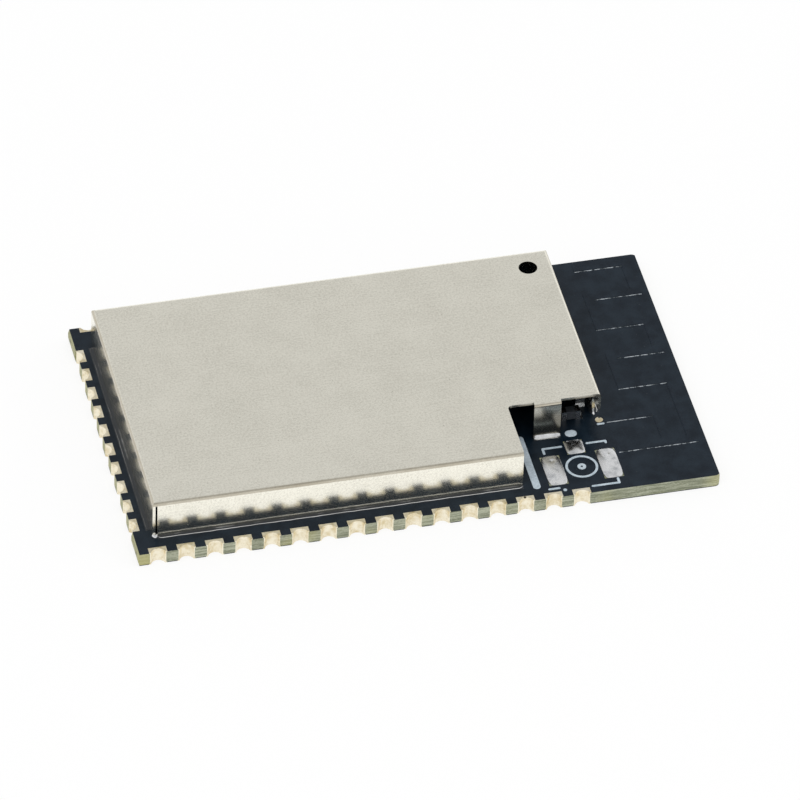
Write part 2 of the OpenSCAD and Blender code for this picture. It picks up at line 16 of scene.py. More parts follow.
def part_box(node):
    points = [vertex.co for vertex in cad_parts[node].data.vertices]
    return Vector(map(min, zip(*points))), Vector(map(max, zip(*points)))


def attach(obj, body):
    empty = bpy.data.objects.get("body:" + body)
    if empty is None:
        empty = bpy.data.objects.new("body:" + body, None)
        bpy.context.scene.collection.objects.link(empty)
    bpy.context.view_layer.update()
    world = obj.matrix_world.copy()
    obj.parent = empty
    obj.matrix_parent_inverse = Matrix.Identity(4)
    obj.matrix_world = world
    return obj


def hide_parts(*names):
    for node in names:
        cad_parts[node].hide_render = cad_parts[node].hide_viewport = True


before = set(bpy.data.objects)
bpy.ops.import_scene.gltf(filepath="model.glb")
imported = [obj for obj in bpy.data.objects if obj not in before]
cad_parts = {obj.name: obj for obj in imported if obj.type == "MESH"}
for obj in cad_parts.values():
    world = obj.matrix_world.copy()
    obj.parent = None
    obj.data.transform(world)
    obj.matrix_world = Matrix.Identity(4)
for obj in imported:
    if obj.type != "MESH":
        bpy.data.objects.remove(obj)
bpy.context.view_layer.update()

BODY = "root"
MM = 0.001
LOG = logging.getLogger("wifi_module")

Colour = tuple[float, float, float]
Point = tuple[float, float, float]


def in_millimetres(box: tuple[Vector, Vector]) -> tuple[Point, Point]:
    """Gives a box in millimetres, to a tenth of a micron.

    Args:
        box: Its lowest and highest corners in metres.

    Returns:
        The same corners in millimetres.
    """
    low, high = (tuple(round(value / MM, 4) for value in corner) for corner in box)
    return low, high


class Slot(Enum):
    """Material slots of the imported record."""

    GLASS_FIBRE = "glass_fibre"
    SOLDER_MASK = "solder_mask"
    GOLD = "gold_plating"
    CAN_SHEET = "can_sheet"
    TINNED = "tinned_copper"
    SOLDER = "solder"
    INK = "ink"
    COPPER = "copper"
    CHIP_MOULD = "chip_mould"
    CRYSTAL_CERAMIC = "crystal_ceramic"
    CRYSTAL_LID = "crystal_lid"
    CAPACITOR = "capacitor_ceramic"
    RESISTOR = "resistor_glaze"
    INDUCTOR = "inductor_ceramic"


class Signal:
    """A shader socket that takes part in ordinary arithmetic."""

    def __init__(self, desk: "NodeDesk", socket: bpy.types.NodeSocket) -> None:
        """Wraps a socket.

        Args:
            desk: The desk whose node tree holds the socket.
            socket: The output socket.
        """
        self.desk = desk
        self.socket = socket

    def _sum(self, operation: str, first: "Signal | float", second: "Signal | float") -> "Signal":
        """Adds one Math node.

        Args:
            operation: The node's operation.
            first: The first value.
            second: The second value.

        Returns:
            The node's result.
        """
        return self.desk.add("ShaderNodeMath", {"operation": operation}, {0: first, 1: second})

    def __add__(self, other: "Signal | float") -> "Signal":
        """Adds."""
        return self._sum("ADD", self, other)

    def __radd__(self, other: float) -> "Signal":
        """Adds, reflected."""
        return self._sum("ADD", other, self)

    def __sub__(self, other: "Signal | float") -> "Signal":
        """Subtracts."""
        return self._sum("SUBTRACT", self, other)

    def __rsub__(self, other: float) -> "Signal":
        """Subtracts, reflected."""
        return self._sum("SUBTRACT", other, self)

    def __mul__(self, other: "Signal | float") -> "Signal":
        """Multiplies."""
        return self._sum("MULTIPLY", self, other)

    def __rmul__(self, other: float) -> "Signal":
        """Multiplies, reflected."""
        return self._sum("MULTIPLY", other, self)

    def size(self) -> "Signal":
        """Gives the value without its sign."""
        return self._sum("ABSOLUTE", self, 0.0)


class NodeDesk:
    """Builds the node tree of one material or world."""

    def __init__(self, tree: bpy.types.NodeTree) -> None:
        """Clears a node tree and takes it over.

        Args:
            tree: The tree to build in.
        """
        self.tree = tree
        tree.nodes.clear()

    @staticmethod
    def _find(sockets: bpy.types.bpy_prop_collection, key: str | int) -> bpy.types.NodeSocket:
        """Finds a socket by its number, identifier or name.

        Args:
            sockets: The inputs or outputs of a node.
            key: The number, identifier or name.

        Returns:
            The socket.
        """
        if isinstance(key, int):
            return sockets[key]
        for socket in sockets:
            if socket.identifier == key:
                return socket
        return sockets[key]

    def add(self, kind: str, settings: dict | None = None, inputs: dict | None = None,
            output: str | int = 0) -> Signal:
        """Adds a node, with its settings first and its sockets after them.

        Args:
            kind: The node's type.
            settings: Properties of the node.
            inputs: Values or signals by socket.
            output: The socket to return.

        Returns:
            The chosen output.
        """
        node = self.tree.nodes.new(kind)
        for name, value in (settings or {}).items():
            setattr(node, name, value)
        for key, value in (inputs or {}).items():
            socket = self._find(node.inputs, key)
            if isinstance(value, Signal):
                self.tree.links.new(value.socket, socket)
            elif socket.type == "RGBA" and len(value) == 3:
                socket.default_value = (*value, 1.0)
            else:
                socket.default_value = value
        if not node.outputs:
            return Signal(self, None)
        return Signal(self, self._find(node.outputs, output))

    def place(self) -> Signal:
        """Gives the point on the part in millimetres."""
        here = self.add("ShaderNodeTexCoord", output="Object")
        return self.add("ShaderNodeVectorMath", {"operation": "SCALE"}, {0: here, "Scale": 1 / MM})

    def stretch(self, where: Signal, factors: Point) -> Signal:
        """Scales a point by axis.

        Args:
            where: The point.
            factors: One factor for each axis.

        Returns:
            The scaled point.
        """
        return self.add("ShaderNodeVectorMath", {"operation": "MULTIPLY"}, {0: where, 1: factors})

    def axis(self, where: Signal, name: str) -> Signal:
        """Takes one coordinate of a point.

        Args:
            where: The point.
            name: X, Y or Z.

        Returns:
            The coordinate.
        """
        return self.add("ShaderNodeSeparateXYZ", None, {0: where}, name)

    def noise(self, where: Signal, scale: float, detail: float = 3.0, rough: float = 0.5) -> Signal:
        """Adds noise from 0 to 1.

        Args:
            where: The point.
            scale: Cells for each millimetre.
            detail: Octaves.
            rough: Share of each finer octave.

        Returns:
            The noise.
        """
        return self.add("ShaderNodeTexNoise", None,
                        {"Vector": where, "Scale": scale, "Detail": detail, "Roughness": rough}, "Fac")

    def specks(self, where: Signal, scale: float, size: float) -> Signal:
        """Adds small round specks, 1 inside a speck.

        Args:
            where: The point.
            scale: Cells for each millimetre.
            size: Size of a speck in cells.

        Returns:
            The specks.
        """
        gap = self.add("ShaderNodeTexVoronoi", {"feature": "F1"}, {"Vector": where, "Scale": scale},
                       "Distance")
        return self.between(gap, size, size * 0.4)

    def between(self, value: Signal, start: float, end: float) -> Signal:
        """Runs from 0 at start to 1 at end, smoothly.

        Args:
            value: The value to read.
            start: Where the result is 0.
            end: Where the result is 1.

        Returns:
            The smooth step.
        """
        return self.add("ShaderNodeMapRange", {"interpolation_type": "SMOOTHSTEP"},
                        {"Value": value, "From Min": start, "From Max": end})

    def blend(self, first: Signal | Colour, second: Signal | Colour, share: Signal) -> Signal:
        """Mixes two colours.

        Args:
            first: The colour at share 0.
            second: The colour at share 1.
            share: The share of the second.

        Returns:
            The mixed colour.
        """
        return self.add("ShaderNodeMix", {"data_type": "RGBA"},
                        {"Factor_Float": share, "A_Color": first, "B_Color": second}, "Result_Color")

    def bump(self, height: Signal, depth: float, strength: float = 1.0) -> Signal:
        """Turns a height from 0 to 1 into a normal.

        Args:
            height: The height.
            depth: Depth in millimetres.
            strength: Strength of the effect.

        Returns:
            The normal.
        """
        return self.add("ShaderNodeBump", None,
                        {"Height": height, "Distance": depth * MM, "Strength": strength})

    def surface(self, inputs: dict) -> None:
        """Ends the tree in a Principled shader.

        Args:
            inputs: Values or signals by socket.
        """
        shader = self.add("ShaderNodeBsdfPrincipled", None, inputs)
        self.add("ShaderNodeOutputMaterial", None, {"Surface": shader})


@dataclass(frozen=True)
class Finish:
    """What every finish shares: its name and the slot that it stands for."""

    label: str
    slot: Slot

    def paint(self, desk: NodeDesk) -> None:
        """Builds the nodes of the finish.

        Args:
            desk: The desk to build on.
        """
        raise NotImplementedError

    def material(self) -> bpy.types.Material:
        """Makes the material once and gives it again afterwards.

        Returns:
            The material.
        """
        name = f"{self.label}_finish"
        made = bpy.data.materials.get(name)
        if made is None:
            made = bpy.data.materials.new(name)
            made.use_nodes = True
            self.paint(NodeDesk(made.node_tree))
        return made


@dataclass(frozen=True)
class ClearedCorner:
    """The can's cleared corner and the tab folded down in it, from the can's box, in millimetres."""

    length: float = 5.05
    width: float = 3.5
    tab_in: float = 1.42
    tab_width: float = 1.45
    tab_bend: float = 0.20


@dataclass(frozen=True)
class SheetMetal(Finish):
    """Satin rolled sheet with faint mottling, rolling lines and fine specks, with painted shade along the
    top fold and on the tab.
    """

    light: Colour = (0.975, 0.950, 0.840)
    dark: Colour = (0.77, 0.745, 0.650)
    # The speck colour is also used as painted shade on the tab.
    speck: Colour = (0.30, 0.28, 0.23)
    fold_shade_colour: Colour = (0.30, 0.25, 0.17)
    roughness: float = 0.20
    fold_shade_foot: float = 0.27
    fold_shade_head: float = 0.03
    fold_shade_fade: float = 0.05
    tab_shade_half: tuple[float, float] = (0.74, 0.18)
    tab_shade_fade: float = 0.06
    tab_shade: float = 1.0
    corner: ClearedCorner = ClearedCorner()

    def paint(self, desk: NodeDesk) -> None:
        """Builds rolled sheet.

        Args:
            desk: The desk to build on.
        """
        where = desk.place()
        cloud = desk.noise(where, 0.45, 4.0, 0.6)
        grain = desk.noise(where, 9.0, 4.0, 0.65)
        rolled = desk.noise(desk.stretch(where, (0.25, 9.0, 9.0)), 1.0, 3.0, 0.6)
        dots = desk.specks(where, 2.2, 0.09) * desk.between(desk.noise(where, 1.3), 0.5, 0.62)
        tone = cloud * 0.22 + grain * 0.68 + rolled * 0.10
        colour = desk.blend(self.dark, self.light, desk.between(tone, 0.3, 0.62))
        colour = desk.blend(colour, self.speck, dots * 0.6)
        height = desk.axis(where, "Z")
        low, high = in_millimetres(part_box("shield_can"))
        # Painted shade: a dark band just below the top fold, standing for a dark reflection there.
        foot = high[2] - self.fold_shade_foot
        head = high[2] - self.fold_shade_head
        fold_shade_band = (desk.between(height, foot, foot + self.fold_shade_fade)
                * desk.between(height, head, head - self.fold_shade_fade))
        # Painted shade on the folded tab, standing for the dark board that it reflects.
        tab_x = high[0] - self.corner.length + self.corner.tab_in + self.corner.tab_width / 2
        tab_y = low[1] + self.corner.width + self.corner.tab_bend / 2
        tab_z = high[2] - self.corner.tab_bend
        half_x, half_y = self.tab_shade_half
        tab = (desk.between((desk.axis(where, "X") - tab_x).size(), half_x + self.tab_shade_fade, half_x)
               * desk.between((desk.axis(where, "Y") - tab_y).size(), half_y + self.tab_shade_fade, half_y)
               * desk.between(height, tab_z, tab_z - self.tab_shade))
        # Painted shade along the fold.
        colour = desk.blend(colour, self.fold_shade_colour, fold_shade_band * (0.25 + cloud * 0.7))
        # Painted shade: the tab is blended towards the speck colour.
        colour = desk.blend(colour, self.speck, tab * 0.85)
        rough = self.roughness + (grain - 0.5) * 0.10 + (cloud - 0.5) * 0.06 + dots * 0.12
        relief = desk.bump(grain * 0.85 + rolled * 0.15, 0.003, 0.35)
        desk.surface({"Base Color": colour, "Metallic": 1.0, "Roughness": rough, "Normal": relief})


@dataclass(frozen=True)
class MaskLacquer(Finish):
    """Dark blue-black lacquer over the board, with soft waves and a little dust."""

    deep: Colour = (0.0030, 0.0080, 0.0150)
    pale: Colour = (0.0110, 0.0200, 0.0310)
    dust: Colour = (0.10, 0.11, 0.12)

    def paint(self, desk: NodeDesk) -> None:
        """Builds the lacquer.

        Args:
            desk: The desk to build on.
        """
        where = desk.place()
        wave = desk.noise(where, 1.1, 3.0, 0.5)
        grain = desk.noise(where, 14.0, 3.0, 0.6)
        motes = desk.specks(where, 1.7, 0.05)
        colour = desk.blend(self.deep, self.pale, desk.between(wave * 0.6 + grain * 0.4, 0.35, 0.65))
        colour = desk.blend(colour, self.dust, motes * 0.5)
        rough = 0.34 + (grain - 0.5) * 0.14 + motes * 0.2
        relief = desk.bump(wave * 0.6 + grain * 0.4, 0.006, 0.5)
        desk.surface({"Base Color": colour, "Roughness": rough, "Normal": relief,
                      "Specular IOR Level": 0.2})


@dataclass(frozen=True)
class GlassFibre(Finish):
    """Sawn edge of glass-fibre laminate: cloth layers, cut fibre ends and yellow resin."""

    resin: Colour = (0.175, 0.190, 0.122)
    fibre: Colour = (0.49, 0.51, 0.385)
    spot: Colour = (0.03, 0.032, 0.025)
    spot_in: Point = (0.20, 0.55, 0.38)
    spot_size: float = 0.13
    spot_fade: float = 0.05
    yellow_from: float = 1.3
    yellow_to: float = 0.05
    yellow: Colour = (0.46, 0.43, 0.17)
    layers: float = 7.0

    def paint(self, desk: NodeDesk) -> None:
        """Builds the laminate.

        Args:
            desk: The desk to build on.
        """
        where = desk.place()
        layer = desk.noise(desk.stretch(where, (0.5, 0.5, self.layers)), 1.4, 4.0, 0.6)
        ends = desk.noise(desk.stretch(where, (5.0, 5.0, 12.0)), 1.6, 3.0, 0.7)
        stain = desk.noise(where, 0.35, 2.0, 0.5)
        colour = desk.blend(self.resin, self.fibre, desk.between(layer * 0.6 + ends * 0.4, 0.38, 0.66))
        low, high = in_millimetres(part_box("circuit_board"))
        corner = desk.between(desk.axis(where, "X").size(),
                              high[0] - self.yellow_from, high[0] - self.yellow_to)
        colour = desk.blend(colour, self.yellow, desk.between(stain, 0.5, 0.72) * 0.45 + corner * 0.4)
        ledge = low[0] + self.spot_in[0]
        end = desk.between(desk.axis(where, "X"), ledge, ledge - self.spot_fade)
        aside = (desk.axis(where, "Y").size() - (high[1] - self.spot_in[1])).size()
        above = (desk.axis(where, "Z") - (low[2] + self.spot_in[2])).size()
        spot = (end * desk.between(aside, self.spot_size, self.spot_size * 0.5)
                * desk.between(above, self.spot_size, self.spot_size * 0.5))
        colour = desk.blend(colour, self.spot, spot * 0.9)
        relief = desk.bump(layer * 0.5 + ends * 0.5, 0.02, 0.8)
        rough = 0.62 + (ends - 0.5) * 0.2
        desk.surface({"Base Color": colour, "Roughness": rough, "Normal": relief})


@dataclass(frozen=True)
class Plating(Finish):
    """Plated or soldered metal with soft tarnish and a fine grain."""

    light: Colour = (0.98, 0.90, 0.70)
    dark: Colour = (0.86, 0.72, 0.44)
    roughness: float = 0.38
    grain_scale: float = 8.0
    depth: float = 0.006
    pit_in: Point = (3.475, 0.30, 0.0)
    pit_size: float = 0.0
    pit_colour: Colour = (0.05, 0.035, 0.02)

    def paint(self, desk: NodeDesk) -> None:
        """Builds the plating.

        Args:
            desk: The desk to build on.
        """
        where = desk.place()
        cloud = desk.noise(where, 1.6, 3.0, 0.55)
        grain = desk.noise(where, self.grain_scale, 4.0, 0.65)
        colour = desk.blend(self.dark, self.light, desk.between(cloud * 0.6 + grain * 0.4, 0.32, 0.6))
        if self.pit_size > 0:
            low, high = in_millimetres(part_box("front_contacts"))
            pit = (high[0] - self.pit_in[0], low[1] + self.pit_in[1], high[2] - self.pit_in[2])
            gap = desk.add("ShaderNodeVectorMath", {"operation": "DISTANCE"},
                           {0: where, 1: pit}, "Value")
            inside = desk.between(gap, self.pit_size, self.pit_size * 0.6)
            colour = desk.blend(colour, self.pit_colour, inside)
        rough = self.roughness + (grain - 0.5) * 0.16 + (cloud - 0.5) * 0.12
        relief = desk.bump(cloud * 0.4 + grain * 0.6, self.depth, 0.7)
        desk.surface({"Base Color": colour, "Metallic": 1.0, "Roughness": rough, "Normal": relief})


@dataclass(frozen=True)
class ShadedSolder(Finish):
    """Solder with painted shade: near black and not metal in its hollow, bright metal along its lip."""

    bright: Colour = (0.93, 0.94, 0.96)
    hollow_shade: Colour = (0.020, 0.024, 0.030)
    lip_low: float = 0.018
    lip_high: float = 0.036

    def paint(self, desk: NodeDesk) -> None:
        """Builds the solder.

        Args:
            desk: The desk to build on.
        """
        where = desk.place()
        grain = desk.noise(where, 6.0, 3.0, 0.6)
        patch = desk.noise(where, 0.8, 2.0, 0.5)
        lift = desk.axis(where, "Z") + (patch - 0.5) * 0.022
        level = in_millimetres(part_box("shield_can"))[0][2]
        lip = desk.between(lift, level + self.lip_low, level + self.lip_high)
        # Painted shade: below the lip the solder is a near-black non-metal, standing for the shadow at
        # the wall's foot.
        colour = desk.blend(self.hollow_shade, self.bright, lip)
        rough = 0.32 - lip * 0.12 + (grain - 0.5) * 0.12
        desk.surface({"Base Color": colour, "Metallic": lip, "Roughness": rough,
                      "Normal": desk.bump(grain, 0.006, 0.5)})


@dataclass(frozen=True)
class EdgeHighlight(Finish):
    """A strip of lacquer along a copper edge, coloured pale in dashes as a painted highlight."""

    pale: Colour = (0.42, 0.46, 0.50)
    deep: Colour = (0.02, 0.03, 0.04)

    def paint(self, desk: NodeDesk) -> None:
        """Builds the thin lacquer.

        Args:
            desk: The desk to build on.
        """
        where = desk.place()
        # Painted highlight: pale dashes along the edge.
        dash = desk.between(desk.noise(where, 3.2, 3.0, 0.7), 0.40, 0.58)
        colour = desk.blend(self.deep, self.pale, dash)
        desk.surface({"Base Color": colour, "Roughness": 0.4 - dash * 0.1})


@dataclass(frozen=True)
class Matt(Finish):
    """Moulded, fired or printed material: a matt body with grain and pores."""

    light: Colour = (0.034, 0.035, 0.037)
    dark: Colour = (0.018, 0.019, 0.020)
    roughness: float = 0.55
    grain_scale: float = 10.0
    depth: float = 0.008

    def paint(self, desk: NodeDesk) -> None:
        """Builds the body.

        Args:
            desk: The desk to build on.
        """
        where = desk.place()
        cloud = desk.noise(where, 1.2, 2.0, 0.5)
        grain = desk.noise(where, self.grain_scale, 4.0, 0.7)
        pores = desk.specks(where, 5.0, 0.12)
        colour = desk.blend(self.dark, self.light, desk.between(cloud * 0.4 + grain * 0.6, 0.32, 0.64))
        colour = desk.blend(colour, self.dark, pores * 0.6)
        rough = self.roughness + (grain - 0.5) * 0.2
        relief = desk.bump(grain - pores * 0.5, self.depth, 0.8)
        desk.surface({"Base Color": colour, "Roughness": rough, "Normal": relief})


CAN_SHEET = SheetMetal("can_sheet", Slot.CAN_SHEET)
MASK = MaskLacquer("solder_mask", Slot.SOLDER_MASK)
LAMINATE = GlassFibre("glass_fibre", Slot.GLASS_FIBRE)
GOLD = Plating("gold_plating", Slot.GOLD, (0.95, 0.89, 0.73), (0.70, 0.59, 0.36), 0.42, 6.0, 0.010,
               pit_size=0.085)
TINNED = Plating("tinned_copper", Slot.TINNED, (0.94, 0.95, 0.96), (0.50, 0.52, 0.54), 0.26, 5.0)
SOLDER = Plating("solder", Slot.SOLDER, (0.95, 0.96, 0.97), (0.74, 0.75, 0.77), 0.24, 5.0, 0.010)
COPPER = Plating("copper", Slot.COPPER, (0.90, 0.52, 0.36), (0.62, 0.30, 0.18), 0.35, 8.0)
LID_METAL = Plating("crystal_lid", Slot.CRYSTAL_LID, (0.84, 0.74, 0.50), (0.66, 0.56, 0.34), 0.3, 10.0)
SHADED_SOLDER = ShadedSolder("solder_with_painted_shade", Slot.SOLDER)
EDGE_HIGHLIGHT = EdgeHighlight("painted_edge_highlight", Slot.SOLDER_MASK)
INK = Matt("ink", Slot.INK, (0.60, 0.69, 0.76), (0.38, 0.46, 0.52), 0.6, 9.0, 0.004)
MOULD = Matt("chip_mould", Slot.CHIP_MOULD)
CRYSTAL_BODY = Matt("crystal_ceramic", Slot.CRYSTAL_CERAMIC, (0.17, 0.155, 0.13), (0.10, 0.09, 0.075))
CAPACITOR = Matt("capacitor_ceramic", Slot.CAPACITOR, (0.46, 0.32, 0.20), (0.33, 0.22, 0.13), 0.45)
RESISTOR = Matt("resistor_glaze", Slot.RESISTOR, (0.026, 0.027, 0.030), (0.012, 0.012, 0.014), 0.3)
INDUCTOR = Matt("inductor_ceramic", Slot.INDUCTOR, (0.060, 0.068, 0.078), (0.030, 0.034, 0.040), 0.4)


def dress(finish: Finish, *nodes: str) -> None:
    """Gives CAD nodes a finish.

    Args:
        finish: The finish.
        nodes: Names of the nodes.
    """
    for name in nodes:
        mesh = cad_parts[name].data
        mesh.materials.clear()
        mesh.materials.append(finish.material())
        LOG.info("dressed %s in %s", name, finish.label)


class Forming:
    """Turns rows of points into smooth closed pieces that ride on the part."""

    def piece(self, name: str, form: bmesh.types.BMesh, finish: Finish,
              *stands_for: str) -> bpy.types.Object:
        """Makes an object of a form.

        Args:
            name: Name of the piece.
            form: Its form, which is used up.
            finish: Its finish.
            stands_for: CAD nodes that it replaces.

        Returns:
            The object.
        """
        bmesh.ops.recalc_face_normals(form, faces=form.faces)
        mesh = bpy.data.meshes.new(name)
        form.to_mesh(mesh)
        form.free()
        for face in mesh.polygons:
            face.use_smooth = True
        mesh.materials.append(finish.material())
        made = bpy.data.objects.new(name, mesh)
        bpy.context.scene.collection.objects.link(made)
        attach(made, BODY)
        if stands_for:
            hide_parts(*stands_for)
        LOG.info("formed %s with %d faces", name, len(mesh.polygons))
        return made

    @staticmethod
    def tube(form: bmesh.types.BMesh, rings: list[list[Vector]]) -> None:
        """Joins rings of points into a closed tube.

        Args:
            form: The form to add to.
            rings: Rings with the same number of points.
        """
        made = [[form.verts.new(point) for point in ring] for ring in rings]
        count = len(made[0])
        for before, after in zip(made, made[1:]):
            for i in range(count):
                j = (i + 1) % count
                form.faces.new((before[i], before[j], after[j], after[i]))
        form.faces.new(made[0])
        form.faces.new(list(reversed(made[-1])))


@dataclass
class Bead:
    """A concave bead of solder between a wall and its land. Sizes are in millimetres."""

    start: Vector
    end: Vector
    out: Vector
    toe: float = 0.24
    climb: float = 0.12
    lip: float = 0.0
    ripple: float = 0.18
    step: float = 0.12
    across: int = 14
    rates: tuple[float, ...] = (1.3, 3.1, 5.7, 9.2)
    seed: int = 1

    def add_to(self, form: bmesh.types.BMesh) -> None:
        """Adds the bead to a form.

        Args:
            form: The form.
        """
        chance = random.Random(self.seed)
        phases = [chance.uniform(0, math.tau) for _ in range(4)]
        length = (self.end - self.start).length / MM
        count = max(3, int(length / self.step))
        rings = []
        for i in range(count + 1):
            share = i / count
            along = share * length
            waves = [math.sin(along * rate + phase) for rate, phase in zip(self.rates, phases)]
            wave = sum(waves) / 4
            taper = min(1.0, 0.45 + 3.5 * min(share, 1 - share) * length)
            toe = self.toe * taper * (1 - self.ripple * (0.5 + 0.5 * wave))
            climb = self.climb * taper * (1 + self.ripple * wave)
            foot = self.start.lerp(self.end, share)
            ring = [foot.copy()]
            # a low ridge near the outer edge makes the lip
            for k in range(self.across + 1):
                reach = k / self.across
                ridge = self.lip * math.exp(-((reach - 0.86) / 0.10) ** 2)
                rise = climb * (1 - reach) ** 2.2 + 0.008 * math.sin(math.pi * reach) + ridge
                ring.append(foot + self.out * (toe * reach * MM) + Vector((0, 0, rise * MM)))
            rings.append(ring)
        Forming.tube(form, rings)


@dataclass
class SolderWork:
    """The can's solder: beads along its walls, a drop at a corner and a wick at the free wall end."""

    forming: Forming
    corner: ClearedCorner = ClearedCorner()
    sheet: float = 0.15
    slit: float = 0.10
    gap_length: float = 1.1
    wick_height: float = 0.5
    land_end: float = 0.5
    drop_size: float = 0.36

    def build(self) -> None:
        """Builds the solder in place of its CAD node."""
        low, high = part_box("shield_can")
        inset = (self.sheet + self.slit) * MM
        notch_x = high.x - self.corner.length * MM
        tab_y = low.y + self.corner.width * MM
        tab_x = notch_x + self.corner.tab_in * MM
        free_y = tab_y + (self.corner.tab_bend + self.gap_length) * MM
        ends = self.land_end * MM
        left = Vector((-1, 0, 0))
        right = Vector((1, 0, 0))
        front = Vector((0, -1, 0))
        back = Vector((0, 1, 0))
        z = low.z

        def at(x: float, y: float) -> Vector:
            """Gives a point on the lands."""
            return Vector((x, y, z))

        form = bmesh.new()
        low_bead = {"climb": 0.02, "lip": 0.045}
        for bead in (
            Bead(at(low.x + inset, low.y), at(notch_x, low.y), front, seed=3, **low_bead),
            Bead(at(low.x + inset, high.y), at(high.x - inset, high.y), back, seed=4, **low_bead),
            Bead(at(low.x, low.y + ends), at(low.x, high.y - ends), left, seed=5, climb=0.02, lip=0.02),
            Bead(at(high.x, free_y), at(high.x, high.y - ends), right, seed=6, **low_bead),
        ):
            bead.add_to(form)
        self.forming.piece("can_solder", form, SHADED_SOLDER, "shield_solder")
        form = bmesh.new()
        for bead in (
            Bead(at(tab_x, tab_y), at(tab_x + self.corner.tab_width * MM, tab_y), front,
                 climb=0.16, step=0.06, seed=7),
            Bead(at(high.x - self.sheet * MM, free_y), at(high.x, free_y), front, climb=self.wick_height,
                 ripple=0.05, step=0.03, seed=8),
        ):
            bead.add_to(form)
        self._drop(form, at(low.x + self.drop_size * MM / 3, low.y), self.drop_size * MM / 2)
        self.forming.piece("bright_solder", form, SOLDER, "shield_solder")

    @staticmethod
    def _drop(form: bmesh.types.BMesh, middle: Vector, size: float) -> None:
        """Adds a slumped drop against the wall.

        Args:
            form: The form.
            middle: Middle of its foot.
            size: Its radius.
        """
        rings = []
        for i in range(10):
            lift = math.sin(math.pi / 2 * i / 10)
            wide = math.cos(math.pi / 2 * i / 10) ** 0.8
            ring = []
            for k in range(24):
                angle = math.pi + math.pi * k / 23
                swell = 1 + 0.06 * math.sin(3 * angle)
                ring.append(middle + Vector((math.cos(angle) * wide * swell * size,
                                             math.sin(angle) * wide * swell * size, lift * size)))
            rings.append(ring)
        Forming.tube(form, rings)


@dataclass
class TinnedPad:
    """A pad under a domed skin of solder that has drawn back from a pit. Sizes are in millimetres."""

    low: Vector
    high: Vector
    level: float
    cells: int = 36
    corner: float = 5.0
    pit: tuple[float, float] = (0.1, 0.62)
    pit_size: float = 0.24
    pit_depth: float = 0.8
    seed: int = 1

    def add_to(self, form: bmesh.types.BMesh) -> None:
        """Adds the pad to a form.

        Args:
            form: The form.
        """
        chance = random.Random(self.seed)
        shift = chance.uniform(0, math.tau)
        middle = (self.low + self.high) / 2
        half = (self.high - self.low) / 2
        crown = self.high.z - self.level
        rings = []
        outline = []
        for k in range(self.cells * 2):
            angle = math.tau * k / (self.cells * 2)
            across = math.cos(angle)
            along = math.sin(angle)
            reach = (abs(across) ** self.corner + abs(along) ** self.corner) ** (-1 / self.corner)
            outline.append((across * reach, along * reach))
        rings.append([Vector((middle.x + half.x * u, middle.y + half.y * v, self.low.z))
                      for u, v in outline])
        for i in range(18):
            wide = 1 - i / 18.5
            ring = []
            for u, v in outline:
                a = u * wide
                b = v * wide
                dome = (1 - wide ** 3.0) * (0.84 + 0.14 * math.sin(4 * a + shift) * math.cos(3 * b))
                aside = a - self.pit[0]
                beyond = (b - self.pit[1]) * half.y / half.x
                near = (aside ** 2 + beyond ** 2) / self.pit_size ** 2
                dome *= 1 - self.pit_depth * math.exp(-near)
                ring.append(Vector((middle.x + half.x * a, middle.y + half.y * b,
                                    self.level + crown * max(0.02, dome))))
            rings.append(ring)
        Forming.tube(form, rings)


@dataclass
class ConnectorFootprint:
    """Tinned pads and printed marks in the can's cleared corner. Sizes are in millimetres."""

    forming: Forming
    pad_width: float = 1.05

    def build(self) -> None:
        """Builds the pads in place of their CAD nodes and prints the marks."""
        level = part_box("shield_can")[0].z
        low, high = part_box("connector_ground_pads")
        width = self.pad_width * MM
        form = bmesh.new()
        for k, x in enumerate((low.x, high.x - width)):
            TinnedPad(Vector((x, low.y, low.z)), Vector((x + width, high.y, high.z)), level,
                      seed=11 + k).add_to(form)
        self.forming.piece("ground_pad_tin", form, TINNED, "connector_ground_pads")
        low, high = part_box("connector_signal_pad")
        form = bmesh.new()
        TinnedPad(low, high, level, pit=(-0.1, 0.45), pit_depth=0.6, seed=21).add_to(form)
        self.forming.piece("signal_pad_tin", form, TINNED, "connector_signal_pad")
        dress(TINNED, "connector_ground_pads", "connector_signal_pad")
        dress(INK, "printed_marks")


